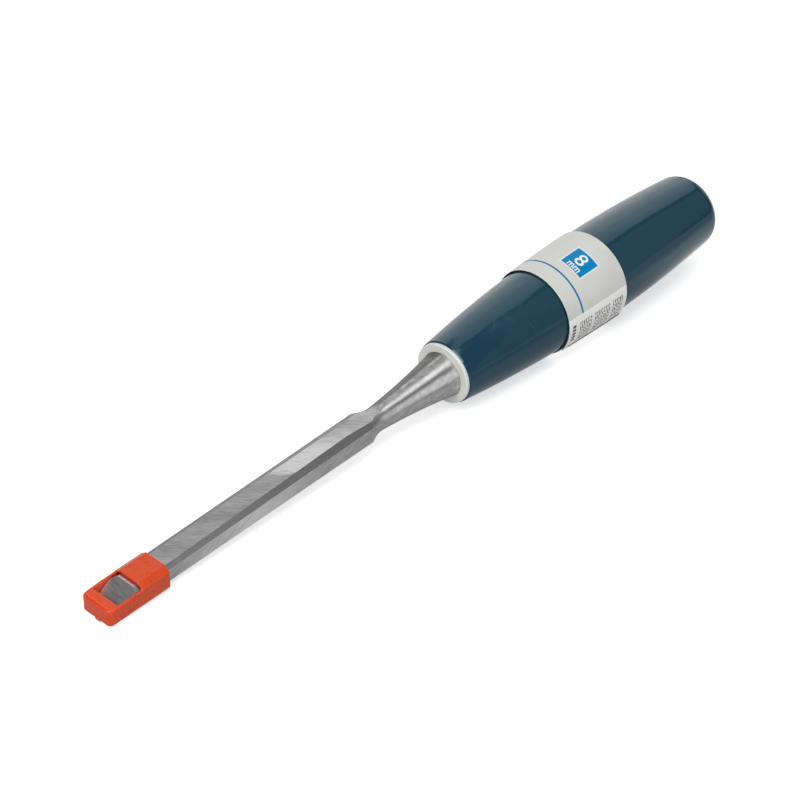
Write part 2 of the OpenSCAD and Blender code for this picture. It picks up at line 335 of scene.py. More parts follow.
@dataclass(frozen=True)
class GroundSteel:
    """Steel from the grinding wheel, with streaks, fine scratches and dark gouges along the grain."""

    name: str
    turn: Triple
    dark: Colour
    light: Colour
    gloss: float = 0.30
    haze: float = 0.46
    streak: Triple = grain(3.2, 0.24)
    cloud: Triple = grain(16, 5)
    cloud_share: float = 0.4
    dark_to: float = 0.55
    light_from: float = 0.85
    scratch: Triple = grain(2.2, 0.07)
    scratch_depth: float = 0.004 * MM
    gouge: Triple = grain(9.0, 0.24)
    gouge_from: float = 0.60
    gouge_to: float = 0.70
    gouge_share: float = 0.6
    gouge_tone: float = 0.62
    painted_highlight: tuple[PaintedHighlight, ...] = ()

    def build(self) -> Material:
        """Builds the material.

        Returns:
            The material.
        """
        graph = Graph(self.name)
        streaks = graph.noise(self.streak, self.turn, detail=4.0, rough=0.62)
        cloud = graph.combine(graph.noise(self.cloud, self.turn), self.cloud_share, "MULTIPLY")
        share = graph.remap(graph.combine(streaks, cloud), self.dark_to, self.light_from, 0, 1)
        colour = graph.blend(share, self.dark, self.light)
        # Each painted highlight brightens a band of the colour in place of a lamp's reflection.
        for painted_highlight in self.painted_highlight:
            share = graph.remap(streaks, painted_highlight.dimmed_to, painted_highlight.bright_from, 0, 1)
            bright = graph.blend(share, scaled(painted_highlight.colour, painted_highlight.worn), painted_highlight.colour)
            colour = graph.blend(self.band(graph, painted_highlight, streaks), colour, bright)
        lines = graph.noise(self.gouge, self.turn, rough=0.6)
        gouges = graph.remap(lines, self.gouge_from, self.gouge_to, 0, self.gouge_share)
        graph.feed("Base Color", graph.blend(gouges, colour, scaled(self.dark, self.gouge_tone)))
        graph.feed("Roughness", graph.spread(streaks, self.haze, self.gloss))
        relief = graph.combine(graph.noise(self.scratch, self.turn), streaks)
        graph.feed("Normal", graph.bump(relief, self.scratch_depth))
        graph.set(Metallic=1.0)
        return graph.material

    def band(self, graph: Graph, painted_highlight: PaintedHighlight, streaks: Socket) -> Socket:
        """Draws a painted highlight band with borders broken up by the streaks.

        Args:
            graph: Graph of the material.
            painted_highlight: Place of the band.
            streaks: Streak pattern.

        Returns:
            The share of the painted highlight's colour.
        """
        across = graph.axis(graph.aligned(UNIT, painted_highlight.turn), "Y")
        ragged = graph.combine(across, graph.spread(streaks, -painted_highlight.ragged, painted_highlight.ragged))
        start, full, fade, end = (line * MM for line in painted_highlight.lines)
        rise = graph.remap(ragged, start, full, 0, 1)
        fall = graph.remap(ragged, fade, end, 1, 0)
        return graph.combine(rise, fall, "MULTIPLY")


@dataclass(frozen=True)
class TurnedSteel:
    """Satin steel of the round neck, with faint turning rings, smudges, specks and painted shade on the far
    flank.
    """

    name: str = "turned_steel"
    dark: Colour = (0.47, 0.47, 0.465)
    light: Colour = (0.75, 0.75, 0.745)
    smudge: Triple = grain(2.2, 0.8)
    # Painted shade that darkens the neck's far (+Y) flank, with a ragged border.
    painted_shade: Colour = (0.26, 0.259, 0.255)
    painted_shade_from: float = -0.6 * MM
    painted_shade_to: float = 0.8 * MM
    painted_shade_ragged: float = 0.5 * MM
    painted_shade_share: float = 0.9
    speck: Colour = (0.16, 0.155, 0.15)
    speck_size: Triple = grain(1.7, 1.2)
    speck_core: float = 0.06
    speck_rim: float = 0.12
    speck_share: float = 0.8
    rim: Colour = grey(0.55)
    gloss: float = 0.29
    haze: float = 0.38
    brushing: float = 0.65
    brushing_turn: float = 0.25
    ring: Triple = grain(0.09, 3)
    ring_depth: float = 0.0008 * MM

    def build(self) -> Material:
        """Builds the material.

        Returns:
            The material.
        """
        graph = Graph(self.name)
        smudge = graph.noise(self.smudge, detail=4.0, rough=0.65)
        colour = graph.blend(graph.spread(smudge), self.dark, self.light)
        # Painted shade: darker towards +Y, over a border made ragged by the smudges.
        ragged = graph.spread(smudge, self.painted_shade_ragged, -self.painted_shade_ragged)
        flank = graph.combine(graph.axis(graph.place, "Y"), ragged)
        far_shade = graph.remap(flank, self.painted_shade_from, self.painted_shade_to, 0, self.painted_shade_share)
        colour = graph.blend(far_shade, colour, self.painted_shade)
        spots = graph.spots(self.speck_size)
        specks = graph.remap(spots, self.speck_core, self.speck_rim, self.speck_share, 0)
        graph.feed("Base Color", graph.blend(specks, colour, self.speck))
        graph.feed("Roughness", graph.spread(smudge, self.haze, self.gloss))
        graph.feed("Normal", graph.bump(graph.noise(self.ring), self.ring_depth))
        graph.feed("Tangent", graph.round_x())
        graph.set(Metallic=1.0, Specular_Tint=self.rim)
        graph.set(Anisotropic=self.brushing, Anisotropic_Rotation=self.brushing_turn)
        return graph.material


@dataclass(frozen=True)
class PrintedPaper:
    """Coated paper of one printed colour."""

    name: str
    colour: Colour
    gloss: float = 0.34
    haze: float = 0.48
    shine: float = 0.5
    fibre: Triple = grain(0.6, 0.25)
    fibre_depth: float = 0.001 * MM
    cloud: Triple = grain(9, 6)
    dull: float = 0.94
    fresh: float = 1.03
    dull_to: float = 0.7
    fresh_from: float = 1.3

    def build(self) -> Material:
        """Builds the material.

        Returns:
            The material.
        """
        graph = Graph(self.name)
        fibre = graph.noise(self.fibre, detail=3.0)
        cloud = graph.noise(self.cloud)
        share = graph.remap(graph.combine(fibre, cloud), self.dull_to, self.fresh_from, 0, 1)
        colour = graph.blend(share, scaled(self.colour, self.dull), scaled(self.colour, self.fresh))
        graph.feed("Base Color", colour)
        graph.feed("Roughness", graph.spread(cloud, self.gloss, self.haze))
        graph.feed("Normal", graph.bump(fibre, self.fibre_depth))
        graph.set(Specular_IOR_Level=self.shine)
        return graph.material


@dataclass(frozen=True)
class PaleFloor:
    """Plain light table, lit from below.

    It may be brighter on its far side, beyond the butt and at its rim, and fades on the near side from dusk.
    """

    name: str
    colour: Colour
    near_glow: float
    far_glow: float
    reach: float = 0.25
    end_glow: float = 0.0
    end_from: float = -0.057
    end_to: float = 0.003
    rim_glow: float = 0.0
    rim_from: float = 0.45
    rim_to: float = 1.0
    dusk: float = 0.0
    cloud: Triple = grain(400, 400)
    shade: float = 0.99
    matt: float = 0.9

    def build(self) -> Material:
        """Builds the material.

        Returns:
            The material.
        """
        graph = Graph(self.name)
        cloud = graph.noise(self.cloud, detail=1.0)
        shade = scaled(self.colour, self.shade)
        graph.feed("Base Color", graph.blend(graph.spread(cloud), shade, self.colour))
        along = graph.axis(graph.place, "X")
        across = graph.axis(graph.place, "Y")
        side = graph.remap(across, 0, self.reach, self.near_glow, self.far_glow)
        end = graph.remap(along, self.end_from, self.end_to, 0, self.end_glow)
        rim = graph.remap(graph.distance((0, 0, 0)), self.rim_from, self.rim_to, 0, self.rim_glow)
        glow = graph.combine(side, end, "MAXIMUM")
        if self.dusk > 0:
            away = graph.remap(across, -self.dusk, -2 * self.dusk, 1, 2)
            glow = graph.combine(glow, away, "DIVIDE")
        graph.feed("Emission Strength", graph.combine(glow, rim, "MAXIMUM"))
        graph.set(Roughness=self.matt, Emission_Color=grey(1.0))
        return graph.material


def soften(piece: Object, radius: float, steps: int, angle: float) -> None:
    """Rounds the sharp edges of a piece and keeps its flats flat.

    Args:
        piece: Object with a closed mesh.
        radius: Width of the rounding.
        steps: Segments of the rounding.
        angle: Least angle of an edge that is rounded.
    """
    weld = piece.modifiers.new("weld", "WELD")
    weld.merge_threshold = WELD
    bevel = piece.modifiers.new("rounded_edges", "BEVEL")
    bevel.width = radius
    bevel.segments = steps
    bevel.limit_method = "ANGLE"
    bevel.angle_limit = math.radians(angle)
    bevel.harden_normals = True
    bevel.use_clamp_overlap = True


def cover(piece: Object, *materials: Material) -> None:
    """Gives a piece its materials.

    Args:
        piece: Object with a mesh.
        *materials: Materials in the order of the mesh's material numbers.
    """
    slots = piece.data.materials
    for number, material in enumerate(materials):
        if number < len(slots):
            slots[number] = material
        else:
            slots.append(material)


def linked(name: str, data: bpy.types.ID) -> Object:
    """Adds an object to the scene.

    Args:
        name: Name of the object.
        data: Mesh, curve, lamp or camera.

    Returns:
        The object.
    """
    piece = bpy.data.objects.new(name, data)
    bpy.context.scene.collection.objects.link(piece)
    return piece


def finished(name: str, mesh: bmesh.types.BMesh, angle: float) -> Object:
    """Turns a mesh under construction into an object with smooth faces and sharp edges.

    Args:
        name: Name of the object.
        mesh: Mesh under construction, which is freed.
        angle: Angle from which an edge stays sharp.

    Returns:
        The object, linked to the scene.
    """
    data = bpy.data.meshes.new(name)
    mesh.to_mesh(data)
    mesh.free()
    data.polygons.foreach_set("use_smooth", [True] * len(data.polygons))
    data.set_sharp_from_angle(angle=math.radians(angle))
    return linked(name, data)


def merged(values: list[float], least: float) -> list[float]:
    """Sorts values and drops those that lie too close to the one before.

    Args:
        values: Values in any order.
        least: Least distance between two kept values.

    Returns:
        The kept values.
    """
    kept: list[float] = []
    for value in sorted(values):
        if not kept or value - kept[-1] > least:
            kept.append(value)
    return kept


@dataclass
class Barrel:
    """Outline of the turned handle, one long arc over its length."""

    length: float
    belly_radius: float = 12.6 * MM
    belly_at: float = 45.5 * MM
    front_radius: float = 8.85 * MM

    def radius(self, station: float) -> float:
        """Measures the handle's radius.

        Args:
            station: Distance from the butt.

        Returns:
            The radius.
        """
        rise = self.belly_radius - self.front_radius
        run = self.length - self.belly_at
        sweep = (run * run + rise * rise) / (2 * rise)
        return self.belly_radius - sweep + math.sqrt(sweep * sweep - (station - self.belly_at) ** 2)


@dataclass
class Handle:
    """Lacquered wooden handle."""

    node: Object
    finish: Lacquer = Lacquer()

    def dress(self) -> None:
        """Gives the turned wood its lacquer."""
        cover(self.node, self.finish.build())
        LOG.info("handle dressed")


@dataclass
class Ferrule:
    """Pale plastic ferrule between bolster and handle."""

    node: Object
    edge: float = 0.12 * MM
    edge_steps: int = 2
    edge_angle: float = 40.0
    finish: Moulding = Moulding(
        "ferrule_plastic", (0.80, 0.815, 0.785), shade=(0.76, 0.775, 0.74), gloss=0.36, haze=0.5, scatter=0.2
    )

    def dress(self) -> None:
        """Softens the edges of the ferrule and gives it its plastic."""
        soften(self.node, self.edge, self.edge_steps, self.edge_angle)
        cover(self.node, self.finish.build())
        LOG.info("ferrule dressed")


class Face(Enum):
    """Ground and turned faces of the blade, in the order of their materials."""

    TURNED = 0
    TOP = 1
    BEVEL = 2
    SIDE = 3
    BACK = 4
    EDGE = 5


@dataclass
class Blade:
    """Forged blade with its ground flats, bolster and tang."""

    node: Object
    neck: float = -131.0 * MM
    turned_from: float = 5.0 * MM
    bevel_to: float = -3.0 * MM
    square: float = 0.99
    edge_ahead: float = 0.45
    edge_up: float = 0.8
    bevel_up: float = 0.85
    arris: float = 0.10 * MM
    arris_steps: int = 2
    arris_angle: float = 14.0
    grind_line: float = -216.3 * MM
    grind_near: float = 0.1 * MM
    grind_above: float = 1.5 * MM
    grind_radius: float = 0.7 * MM
    grind_steps: int = 4

    def finishes(self) -> list[GroundSteel | TurnedSteel]:
        """Lists the finish of each face.

        Returns:
            The finishes in the order of Face.
        """
        slanted = (0, 0, -46)
        along = (0, 0, -90)
        # The three bands below are painted highlights: brighter bands standing in for lamp reflections on the
        # top face, on the top face at the tip, and along the side.
        patch = PaintedHighlight(slanted, lines=(-118.9, -117.7, -109.5, -101.5), colour=grey(0.80))
        painted_tip_glint = PaintedHighlight(along, lines=(-218.5, -217.0, -215.8, -211.5), colour=grey(0.84), ragged=0.6 * MM)
        middle = PaintedHighlight(along, lines=(-204.0, -181.0, -177.0, -152.0), colour=grey(0.97))
        # The faces are copies of one steel in different tones, matched to how bright each looks under the
        # lamps: painted light and shade, most of all the much darker bevel. The streak directions follow the
        # grinding.
        return [
            TurnedSteel(),
            GroundSteel("steel_top", slanted, grey(0.33), grey(0.54), painted_highlight=(patch, painted_tip_glint)),
            GroundSteel("steel_bevel_painted_shade", (0, 0, -12), grey(0.205), grey(0.25), gouge_tone=0.85),
            GroundSteel("steel_side", (0, -27, 0), grey(0.45), grey(0.68), gouge_tone=0.75, painted_highlight=(middle,)),
            GroundSteel("steel_back", (0, 0, 8), grey(0.46), grey(0.58), streak=grain(5.0, 0.42)),
            GroundSteel("steel_edge", (0, 0, 85), grey(0.46), grey(0.54), gouge_tone=0.85),
        ]

    def face_of(self, polygon: bpy.types.MeshPolygon) -> Face:
        """Tells which face of the blade a polygon belongs to.

        Args:
            polygon: Polygon of the blade's mesh.

        Returns:
            The face by its direction.
        """
        normal = polygon.normal
        if polygon.center.x > self.neck + self.turned_from:
            return Face.TURNED
        if normal.z < -self.square:
            return Face.BACK
        if abs(normal.y) > self.square:
            return Face.SIDE
        if normal.z > self.square:
            return Face.TOP
        if normal.x < -self.edge_ahead and normal.z > self.edge_up:
            return Face.EDGE
        if polygon.center.x < self.neck + self.bevel_to and normal.z > self.bevel_up:
            return Face.BEVEL
        return Face.TURNED

    def dress(self) -> None:
        """Breaks the sharp edges and gives each face its grinding."""
        cover(self.node, *(finish.build() for finish in self.finishes()))
        for polygon in self.node.data.polygons:
            polygon.material_index = self.face_of(polygon).value
        self.round_grind_line()
        soften(self.node, self.arris, self.arris_steps, self.arris_angle)
        LOG.info("blade dressed")

    def round_grind_line(self) -> None:
        """Rounds the line where the cutting bevel meets the top face, which catches the light."""
        points = [
            vertex.index
            for vertex in self.node.data.vertices
            if abs(vertex.co.x - self.grind_line) < self.grind_near and vertex.co.z > self.grind_above
        ]
        group = self.node.vertex_groups.new(name="grind_line")
        group.add(points, 1.0, "REPLACE")
        bevel = self.node.modifiers.new("grind_line", "BEVEL")
        bevel.width = self.grind_radius
        bevel.segments = self.grind_steps
        bevel.limit_method = "VGROUP"
        bevel.vertex_group = group.name
        LOG.info("grind line rounded at %d points", len(points))


@dataclass
class Guard:
    """Push-on guard of soft plastic."""

    node: Object
    box: tuple[Vector, Vector]
    rim: float = 1.55 * MM
    near: float = 0.05 * MM
    flat_angle: float = 1.0
    nose: float = 0.75 * MM
    nose_steps: int = 5
    nose_length: float = 1.8 * MM
    nose_wall: float = 1.3 * MM
    nose_angle: float = 45.0
    window: float = -223.6 * MM
    lip: float = 0.8 * MM
    smooth_angle: float = 180.0
    cell: float = 0.12 * MM
    wear: int = 16
    wear_share: float = 0.5
    finish: Moulding = Moulding(
        name="guard_plastic",
        colour=(0.77, 0.076, 0.014),
        shade=(0.74, 0.072, 0.013),
        gloss=0.25,
        haze=0.32,
        skin_depth=0.0004 * MM,
        scatter=0.5,
        scatter_depth=3.0 * MM,
    )

    def on_rim(self, vertex: bmesh.types.BMVert) -> bool:
        """Tells whether a corner of the plain solid lies at the height of the rim."""
        return abs(vertex.co.z - self.rim) < self.near

    def is_nose(self, edge: bmesh.types.BMEdge) -> bool:
        """Tells whether an edge of the plain solid runs round the top of the closed front.

        Args:
            edge: Edge of the solid.

        Returns:
            True for a sharp edge that is outside, at the front and on the rim.
        """
        low, high = self.box
        for vertex in edge.verts:
            ahead = vertex.co.x - low.x < self.nose_length
            inset = min(vertex.co.x - low.x, vertex.co.y - low.y, high.y - vertex.co.y)
            if not ahead or inset >= self.nose_wall or not self.on_rim(vertex):
                return False
        return edge.calc_face_angle(0.0) > math.radians(self.nose_angle)

    def build(self) -> Object:
        """Builds the moulding from its plain solid, with a soft nose and every edge worn round.

        Returns:
            The moulding.
        """
        mesh = bmesh.new()
        mesh.from_mesh(self.node.data)
        bmesh.ops.remove_doubles(mesh, verts=mesh.verts, dist=WELD)
        flat = math.radians(self.flat_angle)
        bmesh.ops.dissolve_limit(
            mesh, angle_limit=flat, use_dissolve_boundaries=False, verts=mesh.verts, edges=mesh.edges
        )
        for vertex in mesh.verts:
            if abs(vertex.co.x - self.window) < self.near and self.on_rim(vertex):
                vertex.co.x += self.lip
        nose = [edge for edge in mesh.edges if self.is_nose(edge)]
        LOG.info("guard nose rounded along %d edges", len(nose))
        steps = self.nose_steps
        bmesh.ops.bevel(mesh, geom=nose, offset=self.nose, segments=steps, profile=0.5, affect="EDGES")
        shell = finished("guard_shell", mesh, self.smooth_angle)
        cells = shell.modifiers.new("fine_cells", "REMESH")
        cells.mode = "VOXEL"
        cells.voxel_size = self.cell
        cells.use_smooth_shade = True
        worn = shell.modifiers.new("worn_edges", "SMOOTH")
        worn.factor = self.wear_share
        worn.iterations = self.wear
        return shell

    def dress(self) -> None:
        """Builds the moulding in place of the plain solid and gives it its plastic."""
        shell = self.build()
        cover(shell, self.finish.build())
        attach(shell, "guard")
        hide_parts("blade_guard")
        LOG.info("blade guard built with %d faces", len(shell.data.polygons))


class Ink(Enum):
    """Printed colours of the band, in the order of their materials."""

    STOCK = 0
    PANEL = 1
    BLUE = 2
    WHITE = 3
    GREY = 4
    # Dark edge ink: painted shade of the gap under the band's cut edges, and a dark strip along its loose
    # end.
    HEM = 5
    STRIPE = 6


INK_COLOURS: dict[Ink, Colour] = {
    Ink.STOCK: (0.67, 0.68, 0.645),
    Ink.PANEL: (0.95, 0.96, 0.935),
    Ink.BLUE: (0.0, 0.235, 0.53),
    Ink.WHITE: (0.86, 0.88, 0.88),
    Ink.GREY: grey(0.075),
    Ink.HEM: grey(0.035),
    Ink.STRIPE: (0.0, 0.18, 0.39),
}
DULL_INKS = (Ink.BLUE, Ink.GREY, Ink.HEM, Ink.STRIPE)
DULL_SHINE = 0.15


@dataclass(frozen=True)
class Patch:
    """Printed rectangle, from angle to angle round the handle and between two distances from the butt."""

    ink: Ink
    first: float
    last: float
    rear: float
    front: float


@dataclass(frozen=True)
class SmallPrint:
    """Plain broken bars in three blocks of the pale panel, and a row of short thick bars in front of them."""

    start: float = 85.0
    blocks: tuple[tuple[float, float], ...] = (
        (60.0 * MM, 65.0 * MM),
        (52.6 * MM, 58.6 * MM),
        (47.3 * MM, 51.0 * MM),
    )
    pitch: float = 0.72 * MM
    bar: float = 0.33 * MM
    dashes: tuple[float, ...] = (5.0, 3.0, 7.0, 2.0, 4.0, 8.0, 3.0)
    dash_shift: int = 3
    space: float = 1.6
    least: float = 1.0
    margin: float = 2.0
    thick_count: int = 5
    thick_pitch: float = 5.2
    thick_bar: float = 3.6
    thick_rear: float = 66.3 * MM
    thick_front: float = 67.6 * MM

    def bars(self, band: Band) -> list[Patch]:
        """Lays out the broken bars of the blocks.

        Args:
            band: Band that carries the print.

        Returns:
            The bars.
        """
        found = []
        stop = band.turn - band.hem - self.margin
        for block, (rear, front) in enumerate(self.blocks):
            for index in range(int((front - rear) / self.pitch) + 1):
                station = rear + index * self.pitch
                turn = band.unrolled(self.start)
                dash = index * self.dash_shift + block
                while turn < stop - self.least:
                    end = min(turn + self.dashes[dash % len(self.dashes)], stop)
                    found.append(Patch(Ink.GREY, turn, end, station, station + self.bar))
                    turn = end + self.space
                    dash += 1
        return found

    def thick_bars(self, band: Band) -> list[Patch]:
        """Returns the row of short thick bars of a band."""
        turns = [band.unrolled(self.start + self.thick_pitch * index) for index in range(self.thick_count)]
        return [Patch(Ink.GREY, t, t + self.thick_bar, self.thick_rear, self.thick_front) for t in turns]


@dataclass(frozen=True)
class SizeMark:
    """Raised white print of the blade's width, wrapped on the band."""

    name: str
    text: str
    size: float
    angle: float
    baseline: float
    weight: float
    narrow: float = 1.0
    film: float = 0.012 * MM
    curve_steps: int = 6
    splits: int = 2
    sharp_angle: float = 60.0

    def flat(self) -> bmesh.types.BMesh:
        """Draws the letters as a flat mesh.

        Returns:
            The letters, centred on X, with the baseline at 0.
        """
        curve = bpy.data.curves.new(self.name, "FONT")
        curve.body = self.text
        curve.size = self.size
        curve.offset = self.weight * self.size
        curve.align_x = "CENTER"
        curve.resolution_u = self.curve_steps
        carrier = linked(self.name, curve)
        bpy.context.view_layer.update()
        letters = bmesh.new()
        letters.from_mesh(carrier.to_mesh())
        carrier.to_mesh_clear()
        bpy.data.objects.remove(carrier)
        bpy.data.curves.remove(curve)
        return letters

    def build(self, band: Band) -> Object:
        """Wraps the letters on the outer face of the band.

        Args:
            band: Band that carries the mark.

        Returns:
            The wrapped letters.
        """
        letters = self.flat()
        bmesh.ops.triangulate(letters, faces=letters.faces)
        for _ in range(self.splits):
            bmesh.ops.subdivide_edges(letters, edges=letters.edges, cuts=1, use_grid_fill=True)
        centre = band.unrolled(self.angle)
        for vertex in letters.verts:
            turn = centre + math.degrees(vertex.co.x * self.narrow / band.barrel.belly_radius)
            vertex.co = band.point(turn, self.baseline - vertex.co.y, band.thickness + self.film)
        bmesh.ops.recalc_face_normals(letters, faces=letters.faces)
        piece = finished(self.name, letters, self.sharp_angle)
        cover(piece, PrintedPaper(f"{self.name}_ink", INK_COLOURS[Ink.WHITE]).build())
        return piece


@dataclass
class Band:
    """Printed paper band rolled once round the handle, with a loose end.

    Printed places are given by their angle from +Z towards -Y and their distance from the butt.
    """

    barrel: Barrel
    rear: float
    front: float
    thickness: float = 0.2 * MM
    gap: float = 0.1 * MM
    glue: float = 0.05 * MM
    lap: float = 30.0
    seam: float = 235.0
    free: float = 17.0
    lift_rear: float = 0.30 * MM
    lift_front: float = 0.15 * MM
    hem: float = 5.5
    dark_end_stop: float = 1.6 * MM
    step: float = 2.5
    rows: int = 12
    least_step: float = 0.05
    least_row: float = 0.02 * MM
    sharp_angle: float = 40.0
    panel_from: float = 75.0
    mark_from: float = 2.5
    mark_to: float = 37.7
    mark_rear: float = 51.95 * MM
    mark_front: float = 60.1 * MM
    mark_rim: float = 0.32 * MM
    stripe_inset: float = 6.0
    stripe_rear: float = 63.1 * MM
    stripe_front: float = 63.7 * MM
    small_print: SmallPrint = SmallPrint()
    marks: tuple[SizeMark, ...] = (
        SizeMark("size_number", "8", 6.0 * MM, angle=19.6, baseline=57.3 * MM, weight=0.008),
        SizeMark("size_unit", "mm", 3.1 * MM, angle=20.4, baseline=59.45 * MM, weight=0.022, narrow=0.88),
    )

    @property
    def turn(self) -> float:
        """Whole angle of the rolled sheet."""
        return 360.0 + self.lap

    def unrolled(self, angle: float) -> float:
        """Returns the angle from the sheet's inner end of a printed place on the outer layer."""
        return self.seam + self.turn + angle - 360.0

    def radius(self, turn: float, station: float) -> float:
        """Measures the radius of the sheet's inner face.

        Args:
            turn: Angle from the inner end of the sheet.
            station: Distance from the butt.

        Returns:
            The radius.
        """
        loose = max(0.0, turn - self.turn + self.free) / self.free
        share = (station - self.rear) / (self.front - self.rear)
        lift = loose * loose * (self.lift_rear + (self.lift_front - self.lift_rear) * share)
        return self.barrel.radius(station) + self.gap + (self.thickness + self.glue) * turn / 360.0 + lift

    def point(self, turn: float, station: float, height: float) -> Vector:
        """Finds a point of the sheet.

        Args:
            turn: Angle from the inner end of the sheet.
            station: Distance from the butt.
            height: Height over the sheet's inner face.

        Returns:
            The point.
        """
        angle = math.radians(self.seam + self.turn - turn)
        radius = self.radius(turn, station) + height
        return Vector((-station, radius * math.sin(angle), radius * math.cos(angle)))

    def patches(self) -> list[Patch]:
        """Lays out the print.

        Returns:
            The printed rectangles, later ones over earlier ones.
        """
        start = self.unrolled(self.panel_from)
        left = self.unrolled(self.mark_from)
        right = self.unrolled(self.mark_to)
        rim = self.mark_rim
        rim_turn = math.degrees(rim / self.barrel.belly_radius)
        return [
            Patch(Ink.PANEL, start, self.turn, self.rear, self.front),
            Patch(Ink.STRIPE, self.lap + self.stripe_inset, start, self.stripe_rear, self.stripe_front),
            Patch(Ink.WHITE, left, right, self.mark_rear, self.mark_front),
            Patch(Ink.BLUE, left + rim_turn, right - rim_turn, self.mark_rear + rim, self.mark_front - rim),
            # A dark strip along the loose end, stopping short of the front edge.
            Patch(Ink.HEM, self.turn - self.hem, self.turn, self.rear, self.front - self.dark_end_stop),
            *self.small_print.bars(self),
            *self.small_print.thick_bars(self),
        ]

    def grid(self, patches: list[Patch]) -> tuple[list[float], list[float]]:
        """Spaces the lines of the sheet's mesh, with a line at every printed border.

        Args:
            patches: Printed rectangles.

        Returns:
            Sorted angles from the inner end, and sorted distances from the butt.
        """
        steps = round(self.turn / self.step)
        turns = [self.turn * i / steps for i in range(steps + 1)]
        stations = [self.rear + (self.front - self.rear) * i / self.rows for i in range(self.rows + 1)]
        turns += [edge for patch in patches for edge in (patch.first, patch.last)]
        stations += [edge for patch in patches for edge in (patch.rear, patch.front)]
        return merged(turns, self.least_step), merged(stations, self.least_row)

    def ink_at(self, patches: list[Patch], turn: float, station: float) -> Ink:
        """Finds the colour printed at a place of the outer face.

        Args:
            patches: Printed rectangles.
            turn: Angle from the inner end of the sheet.
            station: Distance from the butt.

        Returns:
            The colour of the last rectangle there, or of the bare stock.
        """
        ink = Ink.STOCK
        for patch in patches:
            if patch.first < turn < patch.last and patch.rear < station < patch.front:
                ink = patch.ink
        return ink

    def build(self) -> Object:
        """Builds the sheet as one closed mesh with a material per printed colour.

        Returns:
            The sheet.
        """
        patches = self.patches()
        turns, stations = self.grid(patches)
        mesh = bmesh.new()
        inner, outer = (
            [[mesh.verts.new(self.point(t, d, height)) for d in stations] for t in turns]
            for height in (0.0, self.thickness)
        )
        last_turn = len(turns) - 1
        last_row = len(stations) - 1
        for i in range(last_turn):
            for j in range(last_row):
                mesh.faces.new((inner[i][j], inner[i][j + 1], inner[i + 1][j + 1], inner[i + 1][j]))
                face = mesh.faces.new((outer[i][j], outer[i + 1][j], outer[i + 1][j + 1], outer[i][j + 1]))
                middle = ((turns[i] + turns[i + 1]) / 2, (stations[j] + stations[j + 1]) / 2)
                face.material_index = self.ink_at(patches, *middle).value
            # The cut edges at the rear and front get the dark edge ink: painted shade of the gap between band
            # and handle.
            for j in (0, last_row):
                face = mesh.faces.new((inner[i][j], inner[i + 1][j], outer[i + 1][j], outer[i][j]))
                face.material_index = Ink.HEM.value
        for i in (0, last_turn):
            for j in range(last_row):
                mesh.faces.new((inner[i][j], inner[i][j + 1], outer[i][j + 1], outer[i][j]))
        bmesh.ops.recalc_face_normals(mesh, faces=mesh.faces)
        sheet = finished("label_band", mesh, self.sharp_angle)
        cover(sheet, *(self.paper(ink).build() for ink in Ink))
        return sheet

    def paper(self, ink: Ink) -> PrintedPaper:
        """Returns the finish of one printed colour."""
        shine = DULL_SHINE if ink in DULL_INKS else PrintedPaper.shine
        return PrintedPaper(f"paper_{ink.name.lower()}", INK_COLOURS[ink], shine=shine)

    def dress(self) -> None:
        """Builds the band and its size mark in place of the plain solid."""
        sheet = self.build()
        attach(sheet, "chisel")
        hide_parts("label")
        LOG.info("label band built with %d faces", len(sheet.data.polygons))
        for mark in self.marks:
            letters = mark.build(self)
            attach(letters, "chisel")
            LOG.info("%s built", mark.name)


def looking(centre: Triple, aim: Triple, roll: float = 0.0) -> Matrix:
    """Places a lamp or camera that looks along its own -Z.

    Args:
        centre: Where it stands.
        aim: Point that it looks at.
        roll: Turn of its right side upwards.

    Returns:
        The matrix of the object.
    """
    ahead = (Vector(aim) - Vector(centre)).normalized()
    level = ahead.cross(Vector((0, 0, 1))).normalized()
    rise = level.cross(ahead)
    turn = math.radians(roll)
    right = level * math.cos(turn) + rise * math.sin(turn)
    up = rise * math.cos(turn) - level * math.sin(turn)
    matrix = Matrix((right, up, -ahead)).transposed().to_4x4()
    matrix.translation = centre
    return matrix


@dataclass(frozen=True)
class Softbox:
    """Rectangular studio lamp, whose light may fall off over its upper share to a rest at the edge."""

    name: str
    centre: Triple
    aim: Triple
    size: tuple[float, float]
    radiance: float
    fade: float = 0.0
    rest: float = 0.0

    def grade(self, lamp: bpy.types.AreaLight) -> None:
        """Lets the light fall off towards the upper edge.

        Args:
            lamp: Lamp to grade.
        """
        lamp.use_nodes = True
        tree = lamp.node_tree
        place = add_node(tree, "NewGeometry", "Parametric", {})
        height = add_node(tree, "SeparateXYZ", "Y", {"Vector": place})
        inputs = {"Value": height, "From Min": 1.0, "From Max": 1.0 - self.fade, "To Min": self.rest}
        strength = add_node(tree, "MapRange", "Result", inputs)
        tree.links.new(strength, tree.nodes["Emission"].inputs["Strength"])

    def build(self) -> None:
        """Adds the lamp to the scene."""
        lamp = bpy.data.lights.new(self.name, "AREA")
        lamp.shape = "RECTANGLE"
        width, height = self.size
        lamp.size = width
        lamp.size_y = height
        lamp.energy = self.radiance * math.pi * width * height
        if self.fade > 0:
            self.grade(lamp)
        linked(self.name, lamp).matrix_world = looking(self.centre, self.aim)


